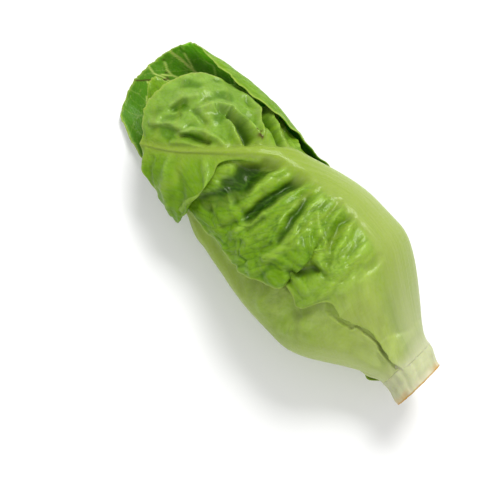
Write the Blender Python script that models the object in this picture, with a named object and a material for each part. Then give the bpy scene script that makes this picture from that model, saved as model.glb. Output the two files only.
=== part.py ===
"""Head of baby romaine lettuce, lying on its side: a cut stem with thirteen leaves packed round it.

Metres, +Z up. The head lies along X: the cut end of the stem faces +X and the leaf tips point to -X.
The origin is under the middle of the head, on the surface that it lies on.

Every leaf is one closed curved sheet with a thick midrib. The shapes are worked out in head space:
t runs along the head from the cut face to the tips, the angle runs round the head from the +Y side (0)
over the top (90 degrees), and r runs out from the head's centre line. The leaves are stacked one inside
the other from the outer surface inwards, each as far in as the leaves outside it are thick there.
"""

import math

import bmesh
import bpy
import numpy as np

# The whole head
HEAD_LENGTH = 0.182  # cut face to the furthest leaf tip
HEAD_WIDTH = 0.072  # across the belly, where the head is widest
BELLY_FLATNESS = 0.82  # height over width at the belly
TIP_FLATNESS = 0.50  # height over width where the tips lie down
SIDE_BOW = 0.0055  # how far the head's centre line stands to the +Y side of the stem's
TIP_BOW = 0.0024  # and how much further the leaf tips lean to that side
FOOT_DEPTH = 0.0010  # how much of the belly's round the surface under the head presses flat

# Where the head's outline changes, along the head from the cut face
BELLY_START = 0.054
BELLY_END = 0.068
SHOULDER = 0.105  # the head is a little narrower from here on
SHOULDER_SHARE = 0.89
TIP_ROUND_START = 0.120  # the round end of the head begins here
TIP_BOW_START, TIP_BOW_END = 0.110, 0.145
TIP_ROUND_END = 1.16  # where the round end would close, over the head's length

# The stem
STEM_RADIUS = 0.0120
STEM_BARE = 0.0088  # bare stem between the cut face and the lowest leaf
STEM_BEVEL = 0.0006
CORE_SEAT = 0.0034  # how far the stem steps in where the leaves begin
CORE_LENGTH = 0.056  # how far the core reaches into the head, from the cut face
CORE_TIP_RADIUS = 0.0016
STEM_LIFT = 0.0235  # height of the middle of the cut face above the surface

# The leaves
BLADE = 0.0010
PRESSED_BLADE = 0.0004  # what is left of the blade where the head's weight presses it flat
BASE_THICKNESS = 0.0018  # of a leaf's clasping foot, beside its midrib
GAP = 0.0008  # between neighbours
MARGIN_ROOM = math.radians(30)  # how far round it takes the next leaf to come out past a margin
FOOT_ROOM = 0.008  # how far along the leaves part to let in the foot of another one
END_ROOM = 0.016  # how far along it takes the next leaf to fill the place of one that has ended
FOOT_FLESH = 0.16  # share of a leaf's length in which its foot fills the room that it has
FOOT_FILL = 0.8  # how much of that room the foot takes up
HEART_ROOM = 1.5  # share of the slack left open round the head's centre line, past the stem

ROWS_OUTER, COLUMNS_OUTER = 22, 18
ROWS_INNER, COLUMNS_INNER = 13, 13
TIP_CURVE = 2.3  # 2 gives a leaf an oval end, and more a squarer one
ROW_SPREAD = 1.35  # over 1 sets the rows closer together at a leaf's foot
STEM_SIDES = 28

LEAF_GREEN = (0.22, 0.40, 0.03, 1.0)
HEART_GREEN = (0.42, 0.52, 0.12, 1.0)
STEM_GREEN = (0.58, 0.64, 0.33, 1.0)


class Leaf:
    """One leaf in head space. Angles are given in degrees and kept in radians."""

    def __init__(self, name, start, end, rib, middle, half, rib_thickness, rib_width,
                 turn=None, room=1.0, round_off=0.30, outer=False):
        self.name = name
        self.start, self.end = start, end
        self.rib = [math.radians(a) for a in rib]  # the midrib's angle at the foot and at the tip
        self.middle = [math.radians(a) for a in middle]  # the blade's middle, foot and tip
        self.half = [math.radians(a) for a in half]  # the blade's half angle: foot, belly and tip
        self.rib_thickness, self.rib_width = rib_thickness, rib_width
        self.turn = turn or (start, end)  # where along the head the leaf turns from foot to tip angle
        self.room = room  # share of the slack between this leaf and the next one in
        self.round_off = round_off  # how much shorter the leaf is at its margins
        self.outer = outer


def outer_leaves():
    """The leaves that show, outermost first. The head rests on the first one."""
    return [
        Leaf("under_leaf", 0.0096, HEAD_LENGTH, (290, 298), (285, 299), (72, 69, 91), 0.0040, 0.013,
             room=1.0, round_off=0.17, outer=True),
        Leaf("cover_leaf", 0.0094, 0.167, (27, 150), (24, 102), (78, 90, 78), 0.0044, 0.014,
             turn=(0.060, 0.128), room=3.2, round_off=0.18, outer=True),
        Leaf("side_leaf", 0.0108, 0.138, (188, 176), (192, 180), (76, 74, 66), 0.0044, 0.014,
             room=1.2, outer=True),
        Leaf("shoulder_leaf", 0.0138, 0.171, (108, 140), (112, 138), (74, 88, 74), 0.0036, 0.011,
             room=1.4, round_off=0.22, outer=True),
    ]


FIRST_INNER_ANGLE = 262.0
SPIRAL_STEP = 137.5  # degrees from each leaf to the next one in, as leaves grow
MIDDLE_LEAVES = 4
HEART_LEAVES = 5
INNER_START, INNER_START_STEP = 0.0185, 0.0031
INNER_END, INNER_END_STEP, INNER_END_BEND = 0.163, 0.0050, 0.0006
INNER_RIB_THICKNESS, INNER_RIB_STEP = 0.0032, 0.00019
INNER_RIB_WIDTH, INNER_RIB_WIDTH_STEP = 0.0095, 0.00065
INNER_HALF_ANGLE, INNER_HALF_STEP = 82.0, 3.5


def inner_leaves():
    """The leaves inside, each shorter than the one outside it and wrapped further round."""
    leaves = []
    for i in range(MIDDLE_LEAVES + HEART_LEAVES):
        heart = i - MIDDLE_LEAVES
        name = f"middle_leaf_{i + 1}" if heart < 0 else f"heart_leaf_{heart + 1}"
        angle = (FIRST_INNER_ANGLE + SPIRAL_STEP * i) % 360.0
        half = INNER_HALF_ANGLE + INNER_HALF_STEP * i
        end = INNER_END - INNER_END_STEP * i - INNER_END_BEND * i * i
        leaves.append(Leaf(
            name, INNER_START + INNER_START_STEP * i, end, (angle, angle), (angle, angle),
            (half * 0.8, half, half), INNER_RIB_THICKNESS - INNER_RIB_STEP * i,
            INNER_RIB_WIDTH - INNER_RIB_WIDTH_STEP * i, round_off=0.24))
    return leaves


LEAVES = outer_leaves() + inner_leaves()


def ease(x, low, high):
    """0 below low, 1 above high, and a smooth rise between them."""
    u = np.clip((np.asarray(x, float) - low) / (high - low), 0.0, 1.0)
    return u * u * (3.0 - 2.0 * u)


def envelope(t):
    """The head's half width at t."""
    rise = ease(t, STEM_BARE / 2, BELLY_START)
    body = STEM_RADIUS + (HEAD_WIDTH / 2 - STEM_RADIUS) * rise
    body = body * (1.0 - (1.0 - SHOULDER_SHARE) * ease(t, BELLY_END, SHOULDER))
    past = np.maximum(t - TIP_ROUND_START, 0.0) / (HEAD_LENGTH * TIP_ROUND_END - TIP_ROUND_START)
    return body * np.sqrt(1.0 - past**2)


def flatness(t):
    """Height over width of the head's cross section at t."""
    toward_belly = 1.0 - (1.0 - BELLY_FLATNESS) * ease(t, STEM_BARE, BELLY_START)
    return toward_belly + (TIP_FLATNESS - BELLY_FLATNESS) * ease(t, BELLY_END, HEAD_LENGTH)


def core_radius(t):
    """The stem's radius at t, inside the head."""
    along = np.clip((t - STEM_BARE) / (CORE_LENGTH - STEM_BARE), 0.0, 1.0)
    seat = STEM_RADIUS - CORE_SEAT
    return CORE_TIP_RADIUS + (seat - CORE_TIP_RADIUS) * (1.0 - along) ** 0.85


def centre_line(t):
    """(y, z) of the head's centre line at t."""
    y = SIDE_BOW * ease(t, 0.0, BELLY_START * 0.75) + TIP_BOW * ease(t, TIP_BOW_START, TIP_BOW_END)
    resting = envelope(t) * flatness(t) - FOOT_DEPTH
    settle = ease(t, 0.0, BELLY_START)
    return y, STEM_LIFT + (resting - STEM_LIFT) * settle


def place(t, angle, r):
    """Head space to the object's own space, before the origin is moved under the middle of the head."""
    y, z = centre_line(t)
    return np.stack([-t, y + r * np.cos(angle), z + r * flatness(t) * np.sin(angle)], axis=-1)


def wrapped(angle):
    return (angle + math.pi) % (2.0 * math.pi) - math.pi


def typical_radius(order, t):
    """About how far out a leaf lies, for turning widths into angles."""
    share = 1.0 - (order + 0.5) / len(LEAVES)
    return core_radius(t) + (envelope(t) - core_radius(t)) * share


def turned(leaf, t):
    low, high = leaf.turn
    return np.clip((t - low) / (high - low), 0.0, 1.0)


def rib_angle(leaf, t):
    return leaf.rib[0] + (leaf.rib[1] - leaf.rib[0]) * turned(leaf, t) ** 1.5


def blade_middle(leaf, t):
    return leaf.middle[0] + (leaf.middle[1] - leaf.middle[0]) * ease(turned(leaf, t), 0.0, 1.0)


def blade_half(leaf, t):
    foot, belly, tip = leaf.half
    span = leaf.end - leaf.start
    widening = foot + (belly - foot) * ease(t, leaf.start, leaf.start + 0.35 * span)
    return widening + (tip - belly) * ease(t, leaf.start + 0.5 * span, leaf.end)


def thickness(order, t, angle):
    """A leaf's thickness at a place: its midrib, its clasping foot and its blade."""
    leaf = LEAVES[order]
    along = np.clip((t - leaf.start) / (leaf.end - leaf.start), 0.0, 1.0)
    flesh = BLADE + (BASE_THICKNESS - BLADE) * (1.0 - ease(along, 0.0, 0.25))
    rib = BLADE + (leaf.rib_thickness - BLADE) * (1.0 - along) ** 0.8
    width = leaf.rib_width * (1.0 - 0.8 * along)
    off = wrapped(angle - rib_angle(leaf, t)) * typical_radius(order, t)
    return flesh + np.maximum(rib - flesh, 0.0) * np.exp(-((off / width) ** 2))


def presence(order, t, angle):
    """1 where a leaf takes up room, falling to 0 past its margins and its ends."""
    leaf = LEAVES[order]
    lengthwise = ease(t, leaf.start - FOOT_ROOM, leaf.start - 0.0005)
    lengthwise = lengthwise * (1.0 - ease(t, leaf.end + 0.001, leaf.end + END_ROOM))
    past = np.abs(wrapped(angle - blade_middle(leaf, t))) - blade_half(leaf, t)
    return lengthwise * (1.0 - ease(past, math.radians(6), math.radians(6) + MARGIN_ROOM))


def leaf_faces_radii(order, t, angle):
    """How far out a leaf's outer and inner faces lie, from the leaves stacked outside and inside it."""
    there = [presence(i, t, angle) for i in range(len(LEAVES))]
    solid = [thickness(i, t, angle) + GAP for i in range(len(LEAVES))]
    needed = sum(p * s for p, s in zip(there, solid))
    core = core_radius(t) + GAP
    outside = np.maximum(envelope(t), core + needed)
    heart = HEART_ROOM * ease(t, 0.4 * CORE_LENGTH, CORE_LENGTH)
    shares = sum(p * leaf.room for p, leaf in zip(there, LEAVES)) + np.maximum(heart, 0.01)
    slack = (outside - core - needed) / shares
    taken = sum(p * (s + slack * leaf.room)
                for p, s, leaf in zip(there[:order], solid[:order], LEAVES[:order]))
    leaf = LEAVES[order]
    along = (t - leaf.start) / (leaf.end - leaf.start)
    flesh = thickness(order, t, angle) + slack * leaf.room * FOOT_FILL * (1.0 - ease(along, 0.0, FOOT_FLESH))
    outer = outside - taken
    return outer, outer - flesh


def leaf_grid(order):
    """(t, angle) of a leaf's grid of points: rows from foot to tip, columns from margin to margin."""
    leaf = LEAVES[order]
    rows, columns = (ROWS_OUTER, COLUMNS_OUTER) if leaf.outer else (ROWS_INNER, COLUMNS_INNER)
    along = np.linspace(0.0, 1.0, rows)[:, None] ** ROW_SPREAD
    across = np.linspace(-1.0, 1.0, columns)[None, :]
    reach = (leaf.end - leaf.start) * (1.0 - leaf.round_off * along * np.abs(across) ** TIP_CURVE)
    t = leaf.start + along * reach
    return t, blade_middle(leaf, t) + across * blade_half(leaf, t)


def leaf_faces(rows, columns):
    """Quads of the outer sheet, the inner sheet and the rim between them."""
    layer = rows * columns
    faces = []
    for i in range(rows - 1):
        for j in range(columns - 1):
            a = i * columns + j
            b, c, d = a + 1, a + columns + 1, a + columns
            faces.append((a, d, c, b))
            faces.append((a + layer, b + layer, c + layer, d + layer))
    loop = [j for j in range(columns)]
    loop += [i * columns + columns - 1 for i in range(1, rows)]
    loop += [(rows - 1) * columns + j for j in range(columns - 2, -1, -1)]
    loop += [i * columns for i in range(rows - 2, 0, -1)]
    for a, b in zip(loop, loop[1:] + loop[:1]):
        faces.append((a, b, b + layer, a + layer))
    return faces


def leaf_points(order):
    """The leaf's outer sheet and then its inner sheet, pressed flat where the head rests."""
    t, angle = leaf_grid(order)
    outer, inner = leaf_faces_radii(order, t, angle)
    sheets = [place(t, angle, outer), place(t, angle, inner)]
    for sheet, lowest in zip(sheets, (0.0, PRESSED_BLADE)):
        sheet[..., 2] = np.maximum(sheet[..., 2], lowest)
    return np.concatenate([sheet.reshape(-1, 3) for sheet in sheets]), t.shape


def material(name, colour, roughness):
    made = bpy.data.materials.new(name)
    made.use_nodes = True
    shader = made.node_tree.nodes["Principled BSDF"]
    shader.inputs["Base Color"].default_value = colour
    shader.inputs["Roughness"].default_value = roughness
    shader.inputs["Metallic"].default_value = 0.0
    return made


def add_object(name, mesh, surface):
    mesh.materials.append(surface)
    mesh.shade_smooth()
    made = bpy.data.objects.new(name, mesh)
    bpy.context.scene.collection.objects.link(made)
    return made


def add_leaf(order, shift, surface):
    points, (rows, columns) = leaf_points(order)
    mesh = bpy.data.meshes.new(LEAVES[order].name)
    mesh.from_pydata((points + shift).tolist(), [], leaf_faces(rows, columns))
    return add_object(LEAVES[order].name, mesh, surface)


def stem_outline():
    """(t, radius) down the stem: the cut face's edge, the bare butt, its shoulder and the core."""
    seat = STEM_RADIUS - CORE_SEAT
    outline = [
        (0.0, STEM_RADIUS - STEM_BEVEL),
        (STEM_BEVEL, STEM_RADIUS),
        (STEM_BARE - 0.0012, STEM_RADIUS),
        (STEM_BARE - 0.0004, seat + 0.4 * CORE_SEAT),
        (STEM_BARE, seat),
    ]
    for t in np.linspace(STEM_BARE, CORE_LENGTH, 9)[1:]:
        outline.append((float(t), float(core_radius(t))))
    return outline


def add_stem(shift, surface):
    """The cut stem and the core that the leaves grow from, turned about the head's centre line."""
    made = bmesh.new()
    rings = []
    for t, radius in stem_outline():
        y, z = (float(v) for v in centre_line(t))
        ring = []
        for side in range(STEM_SIDES):
            angle = 2.0 * math.pi * side / STEM_SIDES
            across = radius * math.cos(angle)
            up = radius * float(flatness(t)) * math.sin(angle)
            ring.append(made.verts.new((-t + shift[0], y + across + shift[1], z + up + shift[2])))
        rings.append(ring)
    for near, far in zip(rings, rings[1:]):
        for side in range(STEM_SIDES):
            after = (side + 1) % STEM_SIDES
            made.faces.new((near[side], far[side], far[after], near[after]))
    made.faces.new(rings[0])
    made.faces.new(list(reversed(rings[-1])))
    bmesh.ops.recalc_face_normals(made, faces=made.faces)
    mesh = bpy.data.meshes.new("stem")
    made.to_mesh(mesh)
    made.free()
    return add_object("stem", mesh, surface)


def middle_shift():
    """What brings the middle of the head over the origin."""
    points = np.concatenate([leaf_points(order)[0] for order in range(len(LEAVES))])
    low, high = points.min(axis=0), points.max(axis=0)
    return np.array([-low[0] / 2, -(low[1] + high[1]) / 2, 0.0])


def build():
    for old in list(bpy.data.objects):
        bpy.data.objects.remove(old)
    leaf_skin = material("leaf", LEAF_GREEN, 0.45)
    heart_skin = material("heart_leaf", HEART_GREEN, 0.45)
    stem_skin = material("stem", STEM_GREEN, 0.5)
    shift = middle_shift()
    add_stem(shift, stem_skin)
    for order, leaf in enumerate(LEAVES):
        add_leaf(order, shift, leaf_skin if leaf.outer else heart_skin)


build()
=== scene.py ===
import math
from types import SimpleNamespace

import bpy
import numpy as np
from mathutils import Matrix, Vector


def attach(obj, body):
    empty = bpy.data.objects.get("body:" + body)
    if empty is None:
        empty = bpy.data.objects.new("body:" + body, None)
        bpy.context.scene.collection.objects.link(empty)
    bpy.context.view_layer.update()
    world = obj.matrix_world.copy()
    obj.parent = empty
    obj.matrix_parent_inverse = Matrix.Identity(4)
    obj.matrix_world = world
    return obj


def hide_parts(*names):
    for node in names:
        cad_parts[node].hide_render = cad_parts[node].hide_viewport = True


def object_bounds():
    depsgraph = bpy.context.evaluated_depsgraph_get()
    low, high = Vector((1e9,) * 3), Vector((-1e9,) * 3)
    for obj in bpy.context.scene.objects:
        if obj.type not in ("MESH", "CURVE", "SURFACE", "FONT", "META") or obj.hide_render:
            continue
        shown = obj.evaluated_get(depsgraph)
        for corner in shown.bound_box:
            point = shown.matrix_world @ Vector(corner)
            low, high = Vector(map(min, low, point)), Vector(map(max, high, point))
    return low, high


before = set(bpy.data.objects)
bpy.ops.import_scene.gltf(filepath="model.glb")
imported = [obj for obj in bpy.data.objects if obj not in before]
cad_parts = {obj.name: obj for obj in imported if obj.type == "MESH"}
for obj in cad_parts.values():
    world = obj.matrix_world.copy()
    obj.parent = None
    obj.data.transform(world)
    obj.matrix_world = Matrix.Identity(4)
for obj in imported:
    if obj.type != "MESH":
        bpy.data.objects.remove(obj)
CAD_LOW, CAD_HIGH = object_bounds()

# -------- the head, in millimetres unless said
# A place in the head is t, the distance from the cut face, an angle in degrees round the centre line
# (0 faces +Y and 90 faces up), and r, the distance from the centre line. The cut face looks to +X.
HEAD_LENGTH = 182.0
HEAD_WIDTH = 72.0
BELLY_FLATNESS = 0.82  # height over width at the belly, and at the tip
TIP_FLATNESS = 0.50
SIDE_BOW = 5.5  # how far the centre line bows to +Y
FOOT_DEPTH = 1.0  # how much of the lowest leaf is pressed flat
BELLY_START = 54.0
BELLY_END = 68.0
SHOULDER = 105.0
SHOULDER_SHARE = 0.89  # the width at the shoulder over the width at the belly
TIP_ROUND_START = 120.0
TIP_ROUND_END = 1.16  # in head lengths
TIP_BLUNTNESS = 0.05  # the square of the least share of the width
STEM_RADIUS = 12.0
STEM_BARE = 8.8  # the length of stem that no leaf covers
STEM_SWELL = 0.9
STEM_SWELL_END = 12.0
STEM_LIFT = 23.5  # how high the cut face's centre lies
CORE_SEAT = 3.4  # how far the core steps in from the stem's side
CORE_LENGTH = 56.0
CORE_TIP_RADIUS = 1.6
CORE_TAPER = 0.85
CUT_END_DEPTH = 0.0004  # how near the CAD stem's end the cut face's points lie, in metres
NECK_SHIFT = 1.8  # how far the neck, the tip, and the tip's +Y side are pushed to +Y
TIP_SHIFT = 2.4
TIP_FLARE = 1.6
FLOOR_OUTSIDE, FLOOR_INSIDE = 0.00005, 0.0005  # the least height of a leaf's two faces, in metres

# -------- how the leaves are stacked
STEM_LEAVES = 3  # how many grow out of the bare stem's side
MIDDLE_LEAVES, HEART_LEAVES = 4, 5
SPIRAL_START, SPIRAL_STEP = 262.0, 137.5  # the first inner leaf's angle, and the turn to each next one
GAP = 0.45
OUTER_CLEAR, INNER_CLEAR = 0.35, 0.60  # how far a face stays below the leaf outside it
FOOT_KEEP, FOOT_ROOM = 0.5, 8.0  # how far before its foot a leaf takes its whole place, or any
END_KEEP, END_ROOM = 1.0, 16.0  # the same past its tip
MARGIN_KEEP, MARGIN_ROOM = 6.0, 30.0  # the same past its margins, in degrees
HEART_ROOM = 1.5
BLADE_ROOM = 1.0
FOOT_FLESH = 0.8  # how much thicker the blade's place is at its foot
OUTER_RIB = (4.0, 13.0)  # how thick and wide an outer leaf's rib is at its foot
INNER_RIB = (3.0, 9.5)  # the first inner leaf's, and how much less each next one's is
INNER_RIB_STEP = (0.19, 0.65)
MID_HEAD = 80.0
RIB_SAMPLES = 160
CEILING_T, CEILING_A = 2.0, 5.0  # the ceiling grid's steps, in mm and degrees
CEILING_ROWS, CEILING_COLUMNS = 100, 72


def ease(x, low, high):
    """0 below low, 1 above high, and a smooth rise between them."""
    u = np.clip((np.asarray(x, float) - low) / (high - low), 0, 1)
    return u * u * (3 - 2 * u)


def fall(x, low, high):
    """1 below low, 0 above high."""
    return 1 - ease(x, low, high)


def bell(x, width):
    """1 at 0, and nearly 0 two widths away."""
    return np.exp(-((x / width) ** 2))


def through(x, knots):
    """A smooth curve through (x, value) knots."""
    xs, ys = np.array(knots, float).T
    slope = np.gradient(ys, xs)
    x = np.asarray(x, float)
    i = np.clip(np.searchsorted(xs, x) - 1, 0, len(xs) - 2)
    h = xs[i + 1] - xs[i]
    u = np.clip((x - xs[i]) / h, 0, 1)
    a = (1 + 2 * u) * (1 - u) ** 2
    b = u * (1 - u) ** 2 * h
    c = u * u * (3 - 2 * u)
    d = -u * u * (1 - u) * h
    return a * ys[i] + b * slope[i] + c * ys[i + 1] + d * slope[i + 1]


def stem_centre():
    """The y (mm) on which the CAD stem's cut face is centred."""
    points = [v.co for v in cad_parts["stem"].data.vertices]
    cut_end = max(p.x for p in points)
    ring = [p.y for p in points if p.x > cut_end - CUT_END_DEPTH]
    return (min(ring) + max(ring)) / 2 * 1000


STEM_Y = stem_centre()


def envelope(t):
    """Half the head's width."""
    rise = ease(t, STEM_BARE / 2, BELLY_START)
    body = STEM_RADIUS + (HEAD_WIDTH / 2 - STEM_RADIUS) * rise
    body *= 1 - (1 - SHOULDER_SHARE) * ease(t, BELLY_END, SHOULDER)
    past = np.maximum(t - TIP_ROUND_START, 0) / (HEAD_LENGTH * TIP_ROUND_END - TIP_ROUND_START)
    return body * np.sqrt(np.maximum(1 - past**2, TIP_BLUNTNESS))


def flatness(t):
    toward_belly = 1 - (1 - BELLY_FLATNESS) * ease(t, STEM_BARE, BELLY_START)
    return toward_belly + (TIP_FLATNESS - BELLY_FLATNESS) * ease(t, BELLY_END, HEAD_LENGTH)


def core_radius(t):
    along = np.clip((t - STEM_BARE) / (CORE_LENGTH - STEM_BARE), 0, 1)
    seat = STEM_RADIUS - CORE_SEAT
    return CORE_TIP_RADIUS + (seat - CORE_TIP_RADIUS) * (1 - along) ** CORE_TAPER


def stem_side(t):
    return STEM_RADIUS + STEM_SWELL * ease(t, 0, STEM_SWELL_END)


def centre_line(t):
    y = SIDE_BOW * ease(t, 0, BELLY_START * 0.75)
    resting = envelope(t) * flatness(t) - FOOT_DEPTH
    settle = ease(t, 0, BELLY_START)
    return y, STEM_LIFT + (resting - STEM_LIFT) * settle


def place(t, degrees, r):
    """From the head's own measures (mm, degrees) to the frame (m), by the CAD box and the CAD stem."""
    y, z = centre_line(t)
    angle = np.radians(degrees)
    flare = TIP_FLARE * ease(np.cos(angle), -0.2, 0.8) + TIP_SHIFT
    neck = NECK_SHIFT * ease(t, 1, 8) * fall(t, 20, 42)
    across = y + neck + r * np.cos(angle) + flare * ease(t, 96, 134)
    up = z + r * flatness(t) * np.sin(angle)
    return np.stack([CAD_HIGH.x - t * 0.001, (across + STEM_Y) * 0.001, up * 0.001], axis=-1)


def wrapped(degrees):
    return (degrees + 180) % 360 - 180


# -------- noise
SHUFFLED = np.random.RandomState(11).permutation(256)


def noise(x, y, seed):
    """Smooth noise from about -1 to 1."""
    x, y = np.broadcast_arrays(np.asarray(x, float), np.asarray(y, float))
    xi, yi = np.floor(x).astype(int), np.floor(y).astype(int)
    fx, fy = x - xi, y - yi

    def corner(dx, dy):
        k = SHUFFLED[(SHUFFLED[(xi + dx + seed * 37) & 255] + yi + dy) & 255]
        angle = k * (2 * math.pi / 256)
        return np.cos(angle) * (fx - dx) + np.sin(angle) * (fy - dy)

    ux = fx**3 * (fx * (6 * fx - 15) + 10)
    uy = fy**3 * (fy * (6 * fy - 15) + 10)
    low = corner(0, 0) * (1 - ux) + corner(1, 0) * ux
    high = corner(0, 1) * (1 - ux) + corner(1, 1) * ux
    return 1.5 * (low * (1 - uy) + high * uy)


def cells(x, y, seed):
    """How far inside its cell each place lies, and the cell's own value, for cells round scattered points."""
    xi, yi = np.floor(x).astype(int), np.floor(y).astype(int)
    nearest = np.full(x.shape, 9.0)
    second = np.full(x.shape, 9.0)
    own = np.zeros(x.shape)
    for dx in (-1, 0, 1):
        for dy in (-1, 0, 1):
            gx, gy = xi + dx, yi + dy
            k = SHUFFLED[(SHUFFLED[(gx + seed * 31) & 255] + gy) & 255]
            px = gx + 0.5 + (SHUFFLED[(k + 11) & 255] / 255 - 0.5) * 0.85
            py = gy + 0.5 + (SHUFFLED[(k + 97) & 255] / 255 - 0.5) * 0.85
            d = np.hypot(x - px, y - py)
            closer = d < nearest
            second = np.where(closer, nearest, np.minimum(second, d))
            own = np.where(closer, k / 255, own)
            nearest = np.where(closer, d, nearest)
    return second - nearest, own


# -------- colours
DEPTH = 0.70  # the studio light is bright, so each surface is this much darker than it looks


def linear(*rgb):
    c = np.array(rgb, float) / 255
    return DEPTH * np.where(c <= 0.04045, c / 12.92, ((c + 0.055) / 1.055) ** 2.4)


def mix(a, b, share):
    share = np.clip(np.asarray(share, float), 0, 1)[..., None]
    return a * (1 - share) + b * share


def layered(base, layers):
    """The base colour with each (colour, share) laid over it in turn."""
    for colour, share in layers:
        base = mix(base, colour, share)
    return base


RIB_FOOT = linear(196, 205, 150)
RIB_MIDDLE = linear(165, 185, 86)
RIB_TOP = linear(150, 177, 58)
RIB_SHADE = linear(140, 170, 60)
# a pale green laid on as a painted sheen, a highlight by the covering leaf's tip
PAINTED_SHEEN = linear(158, 194, 92)
BLADE_FOOT = linear(170, 191, 94)
# a pale yellow-green: the low blade's own paleness, together with painted light
LOW_BLADE_AND_PAINTED_LIGHT = linear(192, 211, 104)
BLADE = linear(118, 160, 16)
BLADE_TIP = linear(116, 162, 14)
# a deep green, laid on as a deeper green together with painted shade in hollows and troughs
HOLLOW_GREEN_AND_SHADE = linear(20, 62, 0)
# a pale green for side veins and pale patches, also laid on as painted light on raised crests
RIDGE_GREEN_AND_PAINTED_LIGHT = linear(152, 190, 62)
# a dark green for the vein network and dark patches, also laid on as painted shade in the tip's valleys
NET_GREEN_AND_SHADE = linear(74, 122, 4)
MARGIN = linear(172, 196, 84)
INNER = linear(98, 166, 0)
INNER_DEEP = linear(74, 142, 0)
INNER_VEIN = linear(200, 224, 110)
HEART = linear(196, 204, 104)
HEART_TIP = linear(150, 184, 56)
BROWN = linear(96, 62, 14)
CUT = linear(222, 196, 96)
CUT_RIM = linear(204, 148, 36)
CUT_CENTRE = linear(214, 204, 120)
STEM_SIDE = linear(212, 216, 172)
STEM_EDGE = linear(228, 222, 186)
BLEMISH = BROWN * 0.55
CRACK_BROWN = BROWN * 0.5
FLOOR_WHITE = (0.93, 0.93, 0.93)


# -------- the leaves
class Leaf:
    """One leaf: where it runs, how its rib goes, and how its blade is puckered. mm and degrees."""

    slot = "leaf"
    skin = "leaf_skin"
    covers = False  # the covering leaf has relief and colours of its own
    room = 1.0  # its share of the stack's slack
    round_off = (0.2, 0.2)  # how much shorter the leaf is at its low and high margins
    corner = (2.3, 2.3)  # over 2 makes that side of the tip squarer
    blade = 0.75  # how thick the blade is
    seed = 1
    spacing = 12.0  # from one side vein to the next
    slant = (0.45, 0.45)  # how the side veins slant, on each side of the rib
    ridge = 0.8  # how high side veins stand, and how deep the blade sags between them
    sag = 0.9
    cell = (7.0, 5.5)  # a pucker's size along and across the rib, and how far it bulges
    bulge = 0.45
    wave = 1.0  # broad waves, and waves near the margin
    ruffle = 0.5
    ragged = 0.6  # how uneven the margin's outline is
    folds = ()  # (place, width, pull, lift, angles between which it sets in, or None)
    green = (22.0, 92.0)  # where the blade turns from pale to green
    tone = 0.0  # how much it takes the tip's colour, and the heart's
    heart = 0.0

    def __init__(self, name, start, end, rib, low, high, rib_half, rib_height, grid, **more):
        """rib, low and high are (t, angle) knots of the midrib and of the two margins."""
        self.name, self.start, self.end = name, start, end
        self.rib, self.low, self.high = rib, low, high
        self.rib_half, self.rib_height = rib_half, rib_height  # (distance along the rib, mm) knots
        self.rows, self.columns = grid
        vars(self).update(more)


def inner_leaf(i):
    """The leaves of the inside of the head, in a spiral, each shorter than the one outside it."""
    heart = i - MIDDLE_LEAVES
    start, end = 18.5 + 3.1 * i, 163.0 - 5.0 * i - 0.6 * i * i
    angle = (SPIRAL_START + SPIRAL_STEP * i) % 360.0
    half = 82.0 + 3.5 * i
    name = f"middle_leaf_{i + 1}" if heart < 0 else f"heart_leaf_{heart + 1}"
    middle = (start + end) / 2
    return Leaf(
        name, start, end, [(start, angle), (middle, angle), (end, angle)],
        [(start, angle - 0.8 * half), (middle, angle - half), (end, angle - half)],
        [(start, angle + 0.8 * half), (middle, angle + half), (end, angle + half)],
        [(start, 9.0 - 0.5 * i), (middle, 5.0 - 0.3 * i), (end, 0.7)],
        [(start, 1.6 - 0.1 * i), (middle, 1.3 - 0.08 * i), (end, 0.2)],
        (96 - 5 * max(heart, 0), 72), slot="heart_leaf", skin="heart_skin", round_off=(0.24, 0.24),
        seed=20 + i, ridge=0.45, sag=0.6, bulge=0.3, wave=0.6, ruffle=0.7, heart=min(1.0, 0.35 + 0.09 * i))


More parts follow.
